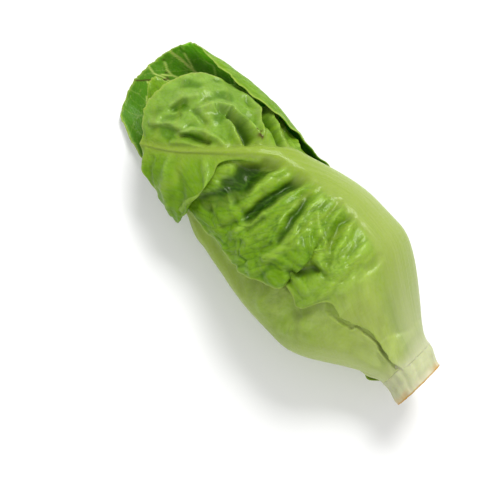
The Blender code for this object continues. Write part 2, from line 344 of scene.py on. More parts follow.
LEAVES = [
    Leaf(
        "under_leaf", 9.6, 184.0, [(9, 290), (60, 292), (120, 300), (150, 309), (184, 317)],
        [(9, 212), (14, 200), (22, 209), (34, 214), (60, 216), (95, 216), (120, 212), (146, 213),
         (159, 216), (172, 222), (184, 232)],
        [(9, 356), (40, 352), (85, 352), (104, 370), (120, 388), (150, 396), (165, 386), (174, 368),
         (184, 334)],
        [(9, 15), (60, 9), (110, 5), (150, 2.2), (182, 0.8)],
        [(9, 1.0), (60, 1.4), (120, 1.0), (182, 0.2)],
        (270, 180), skin="under_skin", room=0.15, round_off=(0.05, 0.06), corner=(3.0, 3.0), seed=3,
        ridge=0.7, sag=0.8, bulge=0.35, wave=0.5, spacing=13),
    Leaf(
        "cover_leaf", 9.4, 167.0,
        [(9, 40), (35, 41), (48, 34), (60, 30), (83, 31), (95, 38), (104, 48), (110, 60), (117, 73),
         (123, 85.5), (129, 96.5), (135, 107), (142, 119), (150, 131), (158, 143)],
        [(9, -52), (30, -62), (60, -66), (85, -60), (98, -34), (108, -4), (118, 7), (130, 17),
         (145, 25), (158, 33), (167, 37)],
        [(9, 111), (14, 112), (20, 113), (25, 111), (31, 109), (37, 112), (43, 115), (49, 112),
         (52, 115), (55, 126), (58, 134), (61, 130), (66, 128), (72, 128), (76, 136), (79, 141),
         (83, 146), (88, 150), (97, 153), (105, 158), (109, 157), (115, 163), (122, 174), (130, 179),
         (141, 175), (152, 168), (167, 158)],
        [(9, 19), (27, 19), (40, 20), (51, 18), (72, 15.5), (88, 13.5), (100, 9.5), (108, 6.0),
         (116, 3.6), (126, 2.3), (140, 1.3), (160, 0.8), (200, 0.5)],
        [(9, 0.8), (27, 1.6), (60, 2.6), (100, 3.0), (120, 2.4), (140, 1.5), (160, 0.9), (196, 0.3)],
        (276, 176), covers=True, room=1.4, round_off=(0.13, 0.21), corner=(2.8, 2.0), seed=5,
        spacing=12.5, slant=(0.10, 0.12), ridge=0.25, sag=0.35, bulge=0.72, cell=(5.6, 4.6), wave=0.8,
        ruffle=0.7, ragged=1.0, folds=((123.5, 9.5, 9.5, 2.6, None), (70, 5, 5.5, 1.6, (86, 100)))),
    Leaf(
        "side_leaf", 10.8, 138.0, [(10, 190), (60, 190), (100, 184), (138, 176)],
        [(10, 97), (50, 97), (80, 102), (110, 113), (138, 118)],
        [(10, 268), (50, 268), (90, 262), (138, 250)],
        [(10, 17), (40, 17), (70, 13), (95, 9), (120, 5), (138, 2)],
        [(10, 0.8), (60, 2.0), (110, 1.4), (138, 0.4)],
        (190, 120), seed=8, round_off=(0.26, 0.26), ridge=0.4, sag=0.35, bulge=0.2, wave=0.5,
        spacing=15, slant=(0.8, 0.8), green=(56, 150), tone=0.25),
    Leaf(
        "shoulder_leaf", 13.8, 174.0, [(13, 108), (70, 112), (120, 122), (174, 128)],
        [(13, 38), (80, 30), (130, 44), (174, 56)],
        [(13, 182), (80, 200), (130, 186), (150, 165), (164, 140), (174, 118)],
        [(13, 13), (60, 8), (110, 4.5), (150, 2), (171, 0.8)],
        [(13, 0.8), (60, 1.4), (120, 1.0), (171, 0.3)],
        (170, 110), room=1.2, round_off=(0.24, 0.18), seed=12, ridge=0.6, sag=0.8, bulge=0.4, wave=0.6,
        ruffle=1.0),
]
OUTER_LEAVES = len(LEAVES)
LEAVES += [inner_leaf(i) for i in range(MIDDLE_LEAVES + HEART_LEAVES)]


# -------- relief and marks placed one by one
# A stroke is how deep or high and how wide it is (mm), then its path of (t, angle)
HOLLOWS = [
    (6.0, 3.3, (108, 66), (109, 79), (108, 95), (108, 110)),
    (4.0, 2.6, (109, 117), (110, 128), (111, 136)),
    (4.6, 2.7, (95, 59), (96, 70), (97, 86), (98, 100), (98, 113)),
    (2.2, 2.0, (94, 105), (96, 119)),
    (2.8, 2.5, (88, 66), (86, 76), (85, 87), (83, 97), (82, 106)),
    (2.1, 1.7, (69, 58), (70, 65), (68, 74), (66, 84), (62, 92)),
    (1.5, 1.4, (77, 54), (76, 63), (74, 72)),
    (1.6, 1.8, (49, 63), (49, 71), (49, 83)),
    (3.2, 1.6, (62, 102), (63, 108), (64, 113), (74, 117), (65, 124)),
    (1.4, 1.5, (101, 124), (103, 138)),
    (1.2, 1.4, (83, 110), (84, 122)),
    (3.4, 2.1, (136, 66), (130, 68), (123, 72)),
    (1.8, 1.2, (144, 70), (139, 68)),
    (2.6, 1.4, (132, 20), (126, 35), (119, 44), (112, 49)),
    (1.5, 1.0, (124, 12), (117, 21), (110, 32)),
    (1.9, 1.5, (146, 108), (140, 102), (134, 96)),
    (1.6, 1.6, (154, 84), (156, 95)),
    (1.3, 1.5, (152, 96), (155, 107)),
    (1.3, 1.3, (141, 85), (148, 84)),
    (1.1, 1.3, (115, 142), (116, 165)),
    (1.5, 1.7, (124, 118), (121, 134), (118, 152)),
    (1.3, 1.6, (136, 130), (132, 147), (128, 166)),
    (1.0, 1.4, (147, 140), (143, 155), (139, 168)),
]
RIDGES = [
    (2.0, 1.3, (104, 61), (104, 74), (104, 90), (106, 106), (108, 119), (111, 137)),
    (1.2, 0.9, (105, 79), (105, 94), (106, 111)),
    (1.8, 1.3, (92, 54), (93, 64), (94, 80), (95, 92), (95, 103), (96, 114), (98, 125)),
    (1.0, 0.9, (94, 58), (95, 67), (96, 82)),
    (2.2, 1.2, (84, 58), (83, 70), (82, 83), (81, 96), (80, 109), (81, 122)),
    (2.0, 1.2, (82, 59), (81, 69), (77, 77), (73, 81), (68, 84), (64, 89), (62, 97)),
    (1.4, 1.1, (75, 53), (74, 63), (73, 73), (70, 82)),
    (1.7, 1.3, (67, 58), (65, 68), (63, 79), (61, 89), (58, 96)),
    (2.2, 2.9, (58, 58), (56, 69), (55, 78)),
    (1.5, 2.0, (60, 75), (59, 84)),
    (1.9, 2.3, (56, 86), (56, 93)),
    (1.9, 2.5, (54, 100), (54, 110)),
    (1.4, 2.3, (49, 81), (49, 92), (49, 98)),
    (1.3, 2.0, (59, 109), (60, 119)),
    (1.2, 1.7, (54, 114), (56, 123)),
    (1.6, 1.1, (127, 88), (134, 89), (139, 92), (143, 97), (146, 108)),
    (2.0, 1.3, (118, 65), (124, 63), (130, 63), (136, 63), (142, 67), (146, 73), (147, 81)),
    (1.6, 1.1, (138, 34), (131, 39), (125, 53), (118, 62)),
    (1.7, 1.1, (130, 19), (124, 28), (117, 39), (110, 43)),
    (1.4, 1.1, (125, 13), (118, 16), (112, 10), (107, 21)),
    (1.0, 0.9, (107, 66), (106, 83), (106, 98), (107, 111)),
    (1.3, 1.0, (88, 55), (88, 64), (88, 76), (88, 90), (88, 103), (89, 117)),
    (1.2, 0.9, (80, 67), (80, 77), (78, 87), (78, 97), (78, 107)),
    (0.9, 0.8, (78, 79), (75, 88), (74, 94)),
    (0.9, 0.8, (72, 85), (66, 93)),
    (0.9, 1.0, (97, 136), (93, 118), (91, 108)),
    (0.9, 1.0, (97, 147), (91, 135), (88, 122)),
    (0.8, 1.0, (86, 147), (81, 136), (78, 127)),
    (1.2, 1.2, (158, 115), (153, 106), (146, 101)),
    (1.2, 1.2, (153, 75), (156, 83), (158, 93)),
    (1.1, 1.2, (120, 78), (126, 77), (135, 73)),
    (1.2, 1.1, (132, 100), (139, 105), (145, 115)),
    (0.9, 1.2, (116, 107), (118, 123), (117, 142)),
    (1.5, 1.1, (130, 108), (128, 122), (125, 140), (123, 160)),
    (1.3, 1.0, (142, 123), (140, 137), (136, 154), (133, 172)),
    (1.0, 0.9, (152, 138), (149, 150), (145, 164)),
]
BLISTERS = [
    (98, 130), (92, 125), (80, 128), (77, 115), (77, 99), (73, 92), (87, 100), (89, 139), (98, 147),
    (82, 138), (86, 109), (105, 118), (108, 131), (102, 106), (158, 84), (160, 98), (157, 111),
    (153, 67), (145, 53), (140, 38), (139, 79), (144, 87), (133, 52), (150, 117), (77, 130), (75, 106),
]
VEINS = [
    [(61, 100), (57, 101), (53, 97), (51, 89)], [(53, 97), (52, 101), (51, 108)],
    [(51, 89), (52, 79), (53, 67), (55, 58)], [(58, 84), (54, 84), (52, 91)], [(51, 108), (53, 117)],
    [(46, 98), (42, 99), (37, 97)], [(58, 63), (58, 78), (57, 90)], [(90, 94), (87, 101), (84, 114)],
    [(81, 88), (77, 95), (67, 106)], [(94, 130), (90, 140), (86, 138)], [(79, 122), (78, 135)],
    [(64, 101), (74, 107)], [(96, 143), (103, 150)], [(46, 102), (45, 110), (40, 111)],
    [(36, 78), (40, 85), (45, 97)],
]
BLEMISHES = [(1.0, 0.9, (119.5, 62), (120.5, 64)), (1.0, 0.45, (121.5, 60), (123, 63))]

# Thin pale veins on the under leaf's inner face, its crack and its brown specks
UNDER_VEINS = [
    [(150, 308), (160, 311), (163, 312), (170, 314), (176, 317), (184, 317)],
    [(165, 300), (169, 297), (173, 295), (177, 296), (180, 300)],
    [(170, 289), (176, 287), (180, 284), (184, 286)], [(168, 262), (175, 271), (179, 273)],
    [(160, 244), (166, 252), (171, 256), (174, 262)], [(152, 232), (158, 238), (164, 240), (168, 247)],
    [(150, 310), (157, 315), (159, 325), (162, 335), (166, 336)],
    [(146, 320), (149, 330), (152, 342), (156, 350)], [(134, 318), (138, 332), (143, 346), (146, 360)],
    [(120, 322), (126, 338), (131, 352), (134, 366)], [(173, 295), (175, 291), (177, 288)],
    [(168, 313), (172, 320), (176, 326)],
]
CRACK = [(186, 258), (184, 263), (182, 268), (180, 273), (178, 277), (176, 282), (173, 290)]
SPECKS = [(181, 302), (177, 315), (176, 293), (181, 247), (171, 288), (172, 261), (174, 290)]

ARC = 0.52  # mm along the blade's surface for each degree


def straying(t, degrees, seed, much):
    """How far a stroke strays from its path here, in mm."""
    slow = 0.7 * noise(t / 7, degrees / 13, seed)
    return much * (slow + 0.10 * noise(t / 1.8, degrees / 3.4, seed + 2))


def strokes_at(t, degrees, strokes, sharp=2.0, stray=1.0):
    """The tallest of the rounded strokes at each place. A path of one point is a round spot."""
    x = t + straying(t, degrees, 91, stray)
    y = degrees * ARC + straying(t, degrees, 92, stray)
    tallest = np.zeros(t.shape)
    for height, width, *path in strokes:
        nearest = np.full(t.shape, 1e6)
        points = [np.array([p[0], p[1] * ARC]) for p in path]
        for start, end in zip(points, points[1:] or points):
            run = end - start
            length = max(float(run @ run), 1e-6)
            u = np.clip(((x - start[0]) * run[0] + (y - start[1]) * run[1]) / length, 0, 1)
            d = (x - start[0] - u * run[0]) ** 2 + (y - start[1] - u * run[1]) ** 2
            nearest = np.minimum(nearest, d)
        rounded = np.exp(-np.minimum(np.sqrt(nearest) / width, 5.0) ** sharp)
        tallest = np.maximum(tallest, height * rounded)
    return tallest


# -------- the stack of leaves
def typical_radius(order, t):
    share = 1 - (order + 0.5) / len(LEAVES)
    return core_radius(t) + (envelope(t) - core_radius(t)) * share


def stack_thickness(order, t, degrees):
    """The room that a leaf is given in the stack: its blade, and its rib where it runs."""
    leaf = LEAVES[order]
    thick, wide = OUTER_RIB
    if order >= OUTER_LEAVES:
        further = order - OUTER_LEAVES
        thick, wide = (first - step * further for first, step in zip(INNER_RIB, INNER_RIB_STEP))
    along = np.clip((t - leaf.start) / (leaf.end - leaf.start), 0, 1)
    flesh = BLADE_ROOM + FOOT_FLESH * fall(along, 0, 0.25)
    rib = BLADE_ROOM + (thick - BLADE_ROOM) * (1 - along) ** 0.8
    width = wide * (1 - 0.8 * along)
    off = np.radians(wrapped(degrees - through(t, leaf.rib))) * typical_radius(order, t)
    return flesh + np.maximum(rib - flesh, 0) * bell(off, width)


def presence(order, t, degrees):
    """1 where the leaf takes its place in the stack, 0 where it takes none."""
    leaf = LEAVES[order]
    lengthwise = ease(t, leaf.start - FOOT_ROOM, leaf.start - FOOT_KEEP)
    lengthwise *= fall(t, leaf.end + END_KEEP, leaf.end + END_ROOM)
    low, high = through(t, leaf.low), through(t, leaf.high)
    past = np.abs(wrapped(degrees - (low + high) / 2)) - (high - low) / 2
    return lengthwise * fall(past, MARGIN_KEEP, MARGIN_KEEP + MARGIN_ROOM)


def stack_radius(order, t, degrees):
    """How far out the leaf's outer face lies in the stack, and how much of the slack is its own."""
    there = [presence(i, t, degrees) for i in range(len(LEAVES))]
    solid = [stack_thickness(i, t, degrees) + GAP for i in range(len(LEAVES))]
    needed = sum(p * s for p, s in zip(there, solid))
    core = core_radius(t) + GAP
    outside = np.maximum(envelope(t), core + needed)
    heart = np.maximum(HEART_ROOM * ease(t, 0.4 * CORE_LENGTH, CORE_LENGTH), 0.01)
    slack = (outside - core - needed) / (sum(p * l.room for p, l in zip(there, LEAVES)) + heart)
    taken = sum(p * (s + slack * l.room)
                for p, s, l in zip(there[:order], solid[:order], LEAVES[:order]))
    return outside - taken, slack * LEAVES[order].room


# The lowest inner face so far at each place, measured from the envelope, so that no leaf comes through
# one outside it
ceiling = np.full((CEILING_ROWS, CEILING_COLUMNS), 90.0)


def under_ceiling(t, degrees, r, clear):
    """r, kept at least clear below the leaves outside."""
    low = ceiling.copy()
    for dt in (-1, 0, 1):
        for da in (-1, 0, 1):
            low = np.minimum(low, np.roll(np.roll(ceiling, dt, 0), da, 1))
    ti = np.clip(t / CEILING_T, 0, CEILING_ROWS - 1.001)
    ai = (degrees % 360.0) / CEILING_A
    i, j = np.floor(ti).astype(int), np.floor(ai).astype(int) % CEILING_COLUMNS
    u, v = ti - i, ai - np.floor(ai)
    k = (j + 1) % CEILING_COLUMNS
    value = ((1 - u) * (1 - v) * low[i, j] + u * (1 - v) * low[i + 1, j]
             + (1 - u) * v * low[i, k] + u * v * low[i + 1, k])
    return np.minimum(r, value + envelope(t) - clear)


def lower_ceiling(t, degrees, r):
    i = np.clip(np.round(t / CEILING_T).astype(int), 0, CEILING_ROWS - 1)
    j = np.round((degrees % 360.0) / CEILING_A).astype(int) % CEILING_COLUMNS
    np.minimum.at(ceiling, (i.ravel(), j.ravel()), (r - envelope(t)).ravel())


# -------- one leaf's shape
def surface_reach(order, t):
    """The radius that turns an angle into mm across the blade: midway between here and mid-head."""
    return typical_radius(order, t) * 0.5 + 0.5 * typical_radius(order, np.full_like(t, MID_HEAD))


def along_rib(leaf, order, t, degrees):
    """Each place's distance along the midrib and its distance from it, signed by side (mm)."""
    first, last = leaf.rib[0][0], leaf.rib[-1][0]
    s = np.linspace(first, last, RIB_SAMPLES)
    px, py = s, np.radians(through(s, leaf.rib)) * surface_reach(order, s)
    run = np.concatenate([[0.0], np.cumsum(np.hypot(np.diff(px), np.diff(py)))]) + first
    x, y = t, np.radians(degrees) * surface_reach(order, t)
    best = np.full(t.shape, 1e9)
    nearest = np.zeros(t.shape, int)
    for i in range(len(s)):
        d = (x - px[i]) ** 2 + (y - py[i]) ** 2
        closer = d < best
        best = np.where(closer, d, best)
        nearest = np.where(closer, i, nearest)
    i = np.clip(nearest, 1, len(s) - 2)
    tx, ty = px[i + 1] - px[i - 1], py[i + 1] - py[i - 1]
    size = np.hypot(tx, ty)
    tx, ty = tx / size, ty / size
    ox, oy = x - px[i], y - py[i]
    side = np.sign(tx * oy - ty * ox)
    return run[i] + ox * tx + oy * ty, side * np.sqrt(best)


def ragged(leaf, t, side):
    """How much further a margin reaches here and there, in mm: waves, and a few teeth."""
    seed = leaf.seed + (40 if side > 0 else 60)
    soft = 0.9 * noise(t / 11, 0, seed) + 0.5 * noise(t / 4.5, 0, seed + 1)
    teeth = np.maximum(noise(t / 2.6, 0, seed + 2) - 0.25, 0) * 2.2
    return leaf.ragged * (soft + teeth)


def shares_along(leaf):
    """Shares of the leaf's length from foot to tip, closer together where the blade folds over."""
    q = np.linspace(0, 1, leaf.rows)[:, None]
    for centre, width, _, _, _ in leaf.folds:
        middle = (centre - leaf.start) / (leaf.end - leaf.start)
        wide = 1.2 * width / (leaf.end - leaf.start)
        nearby = np.exp(-((q - middle) / (2.4 * wide)) ** 2)
        q = q - 0.35 * wide * np.tanh((q - middle) / wide) * nearby
    return (q - q[0]) / (q[-1] - q[0])


def lay_out(leaf, order):
    """Where the leaf's points lie in t and degrees, and how far each is from the nearest margin."""
    q = shares_along(leaf)
    a = np.linspace(-1, 1, leaf.columns)[None, :]
    low_end = leaf.round_off[0] * np.abs(a) ** leaf.corner[0]
    high_end = leaf.round_off[1] * np.abs(a) ** leaf.corner[1]
    shorter = low_end + (high_end - low_end) * ease(a, -0.25, 0.25)
    reach = (leaf.end - leaf.start) * (1 - shorter * q)
    tip_waves = 1.1 * noise(a * 7, 0, leaf.seed + 80) + 0.5 * noise(a * 21, 0, leaf.seed + 81)
    t = leaf.start + q * reach + q**6 * leaf.ragged * tip_waves
    size = np.maximum(typical_radius(order, t), 8.0)
    low = through(t, leaf.low) - np.degrees(ragged(leaf, t, -1) / size)
    high = through(t, leaf.high) + np.degrees(ragged(leaf, t, 1) / size)
    degrees = low + (a + 1) / 2 * (high - low)
    edge = np.minimum((1 - np.abs(a)) * np.radians(high - low) / 2 * size, (1 - q) * reach)
    none = np.zeros(t.shape)
    return SimpleNamespace(q=q + none, t=t, degrees=degrees, edge=edge, up=none, down=none,
                           blister=none, line=none, pleat=none, swell=none)


def find_rib(leaf, order, at):
    at.l, at.c = along_rib(leaf, order, at.t, at.degrees)
    at.half = np.maximum(through(at.l, leaf.rib_half), 0.6)
    off = np.abs(at.c) / at.half
    at.rib = np.exp(-np.minimum(off * 1.05, 4.0) ** 4.0)
    past = np.minimum(np.maximum(np.abs(at.c) - 0.85 * at.half, 0) / 2.4, 6.0)
    at.blade = 1 - np.exp(-past ** 1.6)


def find_veins(leaf, at):
    """The side veins, the hollows between them, the network of cells, and how strongly they pucker."""
    t, degrees, c = at.t, at.degrees, at.c
    beyond = np.maximum(np.abs(c) - at.half, 0)
    left = c > 0
    slant = np.where(left, leaf.slant[0], leaf.slant[1])
    base = np.where(left, t, at.l) if leaf.covers else at.l
    base = base - slant * np.abs(c)
    wander = (0.22 * noise(t / 26, degrees / 34, leaf.seed)
              + 0.10 * noise(t / 9, degrees / 14, leaf.seed + 1))
    phase = base / leaf.spacing + wander + np.where(left, 0.0, 0.43)
    near = np.abs(phase - np.round(phase)) * leaf.spacing  # mm from the nearest side vein
    at.fade = np.exp(-beyond / 30) * ease(at.q, 0.04, 0.22)
    at.vein = bell(near, 0.7 + 1.1 * at.fade) * at.blade
    at.broad = bell(near, 2.0 + 2.4 * at.fade) * at.blade
    cell_x = base / leaf.cell[0] + 0.5 * noise(t / 13, degrees / 17, leaf.seed + 2)
    cell_y = c / leaf.cell[1] + 0.5 * noise(t / 11, degrees / 19, leaf.seed + 3)
    at.border, at.own = cells(cell_x, cell_y, leaf.seed)
    at.fine, _ = cells(cell_x * 2.6 + 3.0, cell_y * 2.6, leaf.seed + 9)
    at.grown = at.blade * ease(at.q, 0.10, 0.34)
    at.strength = at.grown * (0.55 + 0.45 * noise(t / 24, degrees / 30, leaf.seed + 4))
    if leaf.covers:  # weaker near the foot, beside the midrib and on both sides of the tip
        at.strength *= 1 - 0.4 * ease(t, 114, 122) * ease(c, 1, 6)
        at.strength *= 1 - 0.6 * fall(t, 60, 68)
        at.strength *= 1 - 0.35 * ease(t, 76, 88) * fall(c, 18, 30)
        at.strength *= 1 - 0.72 * ease(t, 110, 120) * ease(-c, 1, 6)
    hollow = at.fade * at.grown * (1 - at.broad) * np.exp(-beyond / 16)
    at.hollow = hollow * (0.65 + 0.5 * noise(np.round(phase) * 3.7, 0, leaf.seed + 5))


def puckered(leaf, at):
    """How far each place stands out: the rib, the side veins, the puckers and the waves."""
    dome, fine_dome = (1 - np.exp(-((border / 0.30) ** 1.4)) for border in (at.border, at.fine))
    rib_height = np.maximum(through(at.l, leaf.rib_height), 0)
    h = rib_height * (at.rib - 1) * ease(at.q, 0, 0.12)
    h += leaf.ridge * at.fade * at.broad * at.grown
    h -= leaf.sag * at.hollow
    h += leaf.bulge * at.strength * (dome * (0.7 + 0.6 * at.own) - 0.6 + 0.35 * (fine_dome - 0.6))
    h += leaf.wave * at.grown * noise(at.t / 30, at.degrees / 38, leaf.seed + 6)
    ruffle = np.exp(-at.edge / 5) * ease(at.q, 0.15, 0.4)
    return h + leaf.ruffle * ruffle * (noise(at.t / 7, at.degrees / 12, leaf.seed + 7) * 1.6)


def cover_relief(at, h):
    """h with the relief that only the covering leaf has."""
    t, degrees, c, half = at.t, at.degrees, at.c, at.half
    at.up = strokes_at(t, degrees, [(height, 1.3 * width, *path) for height, width, *path in RIDGES])
    at.down = strokes_at(t, degrees, HOLLOWS, 2.8)
    at.blister = strokes_at(t, degrees, [(1.2, 2.0, p) for p in BLISTERS])
    at.line = strokes_at(t, degrees, [(1.0, 0.55, *path) for path in VEINS]) * ease(t, 46, 56)
    # fine pleats that run out from the midrib, between the larger ridges
    warp = 0.8 * noise(t / 14, degrees / 22, 95) + 0.3 * noise(t / 5, degrees / 10, 96)
    pleat = noise(t / 3.6 + warp, degrees / 44, 97) + 0.15 * noise(t / 1.7 + warp, degrees / 28, 98)
    inward, outward = c - half, -c - half
    across = ease(inward, 0, 4) * (1 - 0.8 * ease(inward, 12, 30)) * ease(t, 50, 66)
    across *= fall(t, 112, 118)
    by_lobe = ease(outward, 0, 3) * ease(t, 100, 110) * fall(t, 124, 136)
    across += 0.9 * by_lobe
    at.pleat = pleat * across * at.grown * fall(at.down, 0.4, 2)
    swell = noise(t / 7.5, degrees / 15, 99) * ease(t, 108, 120)
    at.swell = swell * ease(outward, 0, 5) * ease(at.edge, 0, 6)
    by_tip = ease(t, 114, 122) * ease(-c, 0, 3)
    h = h + 0.45 * at.pleat + 1.5 * at.swell
    h += at.up * (1 + 1.1 * by_tip) * (0.2 + 0.8 * at.blade)
    h -= at.down * (1 + 0.9 * by_tip) * (1 - 0.9 * at.rib)
    return h + at.blister * at.blade - 0.7 * at.line * at.blade


def folded(leaf, at):
    """The blade folds over itself: t once it has folded, and how far each place is lifted."""
    bent = at.t.copy()
    lifted = np.zeros(at.t.shape)
    for centre, width, pull, lift, sets_in in leaf.folds:
        x = (at.t - centre - 1.2 * noise(at.degrees / 16, 0, leaf.seed + 8)) / width
        free = ease(at.c, 0.95 * at.half + 0.5, 0.95 * at.half + 9)
        if sets_in:
            free = free * ease(at.degrees, *sets_in)
        bent += free * pull * (-x * np.exp(-x * x) * 2.33)
        lifted += free * lift * np.tanh(1.9 * x) * bell(x, 3.2)
    return bent, lifted


def grow(order):
    """The leaf's two sheets of points, and what its looks need to know at each point."""
    leaf = LEAVES[order]
    at = lay_out(leaf, order)
    t, q = at.t, at.q
    find_rib(leaf, order, at)
    find_veins(leaf, at)
    r, slack = stack_radius(order, t, at.degrees)
    h = puckered(leaf, at)
    if leaf.covers:
        h = cover_relief(at, h)
    at.streak = (noise(at.c / 1.5, at.l / 60, leaf.seed + 50)
                 + 0.5 * noise(at.c / 0.6, at.l / 45, leaf.seed + 51))
    h += 0.07 * at.streak * at.rib * ease(q, 0, 0.1)
    bent, lifted = folded(leaf, at)
    h += lifted

    lying = np.zeros(t.shape)
    if leaf.covers:  # near the foot the margin lies down on the leaf below it
        lying = bell(at.edge, 7.0) * ease(at.c, 0, 6)
        lying = lying * ease(t, 10, 13) * fall(t, 44, 56)
        h -= (1.2 + 0.6 * slack) * lying
    if order < STEM_LEAVES:  # the foot grows out of the stem's side without a step
        meet = fall(t, leaf.start, leaf.start + 8)
        h = h * (1 - meet) - (r - stem_side(t) - 0.12) * meet
    clear = OUTER_CLEAR if order < OUTER_LEAVES else INNER_CLEAR
    outer = under_ceiling(bent, at.degrees, r + h, clear) if order else r + h
    flesh = leaf.blade + 1.6 * at.rib * ease(1 - q, 0, 0.9)
    fill = slack * 0.8 * fall(q, 0, 0.16) * ease(at.edge, 0, 4)
    thin = flesh * ease(at.edge, -0.4, 1.6) * 0.75 + 0.25 * flesh + lying
    inner = outer - thin - fill
    lower_ceiling(bent, at.degrees, np.minimum(inner, outer - 0.9))
    return bent, outer, inner, at


# -------- one leaf's colours
def cover_blade(blade, at):
    """The covering leaf's blade: a painted sheen and painted shade in the valleys by its tip, and paler
    ridges near its foot.
    """
    toward_tip = ease(at.t, 112, 150)
    tip = ease(at.t, 110, 124) * ease(-at.c, 0, 4)
    # painted shade: the tip's valleys, between the swells and below the crests, are painted dark
    painted_valley_shade = 0.75 * ease(-at.swell, 0, 0.5) * fall(at.up, 0.1, 0.8)
    return layered(blade, [
        # painted sheen: paler over the tip's blade, and more on its raised crests
        (PAINTED_SHEEN, 0.45 * toward_tip * ease(-at.c, 2, 10) + 0.35 * toward_tip * ease(at.up, 0.3, 1.6)),
        # painted shade in the tip's valleys and its placed hollows
        (NET_GREEN_AND_SHADE, tip * (painted_valley_shade + 0.4 * ease(at.down, 0.2, 1.2))),
        (RIDGE_GREEN_AND_PAINTED_LIGHT, 0.5 * fall(at.t, 54, 72) * ease(at.c, 0, 10)),
    ])


def outer_blade(leaf, at):
    """The colour of the outer face between its ribs, with painted shade in its hollows and troughs and
    painted light on its crests.
    """
    t, c = at.t, at.c
    green = ease(t, *leaf.green)
    patch = noise(t / 17, at.degrees / 22, leaf.seed + 30)
    blade = layered(BLADE_FOOT, [
        (BLADE, ease(green, 0, 0.7)),
        (BLADE_TIP, ease(green, 0.6, 1)),
        (NET_GREEN_AND_SHADE, 0.30 * np.maximum(patch, 0)),
        (RIDGE_GREEN_AND_PAINTED_LIGHT, 0.30 * np.maximum(-patch, 0)),
        # the hollows between side veins, and below them the placed hollows: a deeper green and painted shade
        (HOLLOW_GREEN_AND_SHADE, 0.95 * ease(at.hollow, 0.18, 0.95) * leaf.sag / 3.6),
        (RIDGE_GREEN_AND_PAINTED_LIGHT, 0.75 * at.broad * at.fade * min(1.0, 1.4 * leaf.ridge)),
        (HOLLOW_GREEN_AND_SHADE, 0.92 * ease(at.down, 0.5, 3.6)),
        # raised crests and blisters painted paler: partly a paler green, partly painted light
        (RIDGE_GREEN_AND_PAINTED_LIGHT, 0.78 * ease(at.up, 0.4, 1.8) + 0.2 * at.blister),
        (NET_GREEN_AND_SHADE, 0.75 * at.line),
        # painted light on the pleats' crests
        (RIDGE_GREEN_AND_PAINTED_LIGHT, 0.7 * np.maximum(at.pleat, 0)),
    ])
    if leaf.covers:
        blade = cover_blade(blade, at)
    # painted shade in the pleats' troughs and in the deepest placed hollows
    blade = mix(blade, HOLLOW_GREEN_AND_SHADE, 0.6 * np.maximum(-at.pleat, 0) + 0.55 * ease(at.down, 1.2, 4.5))
    # the side leaf's upper part is painted darker: a deeper green, and painted shade under the covering
    # leaf's edge
    if leaf.name == "side_leaf":
        blade = mix(blade, NET_GREEN_AND_SHADE, 0.22 * ease(t, 56, 80))
    blade = mix(blade, RIDGE_GREEN_AND_PAINTED_LIGHT, 0.18 * (at.own - 0.3) * at.strength)
    lines = bell(at.border, 0.07) + 0.4 * bell(at.fine, 0.09)
    lines = lines * (0.45 + 0.55 * ease(t, 40, 75))
    if leaf.covers:
        lines = lines * (1 - (0.35 + 0.27 * ease(-c, 0, 3)) * ease(t, 112, 122))
    return mix(blade, NET_GREEN_AND_SHADE, 0.55 * lines * at.grown * min(1.0, leaf.bulge * 2.0))


def outer_rib(at):
    """The colour of the midrib, with its streaks and its darker sides."""
    sides = ease(np.abs(at.c) / at.half, 0.35, 1.1)
    return layered(RIB_FOOT, [
        (RIB_MIDDLE, ease(at.t, 8, 48)),
        (RIB_TOP, ease(at.l, 62, 118)),
        (RIB_FOOT, 0.16 * np.maximum(at.streak, 0)),
        (RIB_SHADE, 0.20 * np.maximum(-at.streak, 0) + 0.35 * sides),
    ])


def outer_tint(leaf, at):
    """The colour of the face that looks out: paler, with raised pale ribs."""
    t, c = at.t, at.c
    pale = fall(t, 22, 66) * (1 - 0.4 * ease(c - at.half, 4, 26))
    ribbed = np.maximum(ease(at.rib, 0.10, 0.75), np.maximum(pale, 1 - at.blade))
    tint = mix(outer_blade(leaf, at), outer_rib(at), ribbed)
    tint = mix(tint, RIB_TOP, 0.6 * at.vein * at.fade)
    if leaf.covers:
        # the low blade beside the rib is painted paler: partly its own paleness, partly painted light where
        # it faces away from the lamps
        low_blade_and_painted_light = fall(t, 36, 56) * ease(c - 0.8 * at.half, 0, 8)
        tint = mix(tint, LOW_BLADE_AND_PAINTED_LIGHT, 0.65 * low_blade_and_painted_light)
    tint = mix(tint, MARGIN, 0.8 * bell(at.edge, 0.8) * ease(at.q, 0.03, 0.12))
    tint = mix(STEM_SIDE, tint, ease(t, leaf.start - 1, leaf.start + 7))
    if leaf.covers:
        tint = mix(tint, BLEMISH, strokes_at(t, at.degrees, BLEMISHES, stray=0.7))
    tint = mix(tint, HEART, leaf.heart)
    if leaf.heart:
        tint = mix(tint, HEART_TIP, 0.55 * ease(at.q, 0.45, 1))
    tint = mix(tint, BLADE_TIP, leaf.tone * ease(t, 10, 110))
    if leaf.name == "side_leaf":
        # the side leaf painted paler: near its foot its own paleness, higher up painted light where it faces
        # away from the lamps
        tint = mix(tint, LOW_BLADE_AND_PAINTED_LIGHT, 0.28 * ease(t, 56, 84) + 0.45 * fall(t, 30, 54))
    return tint


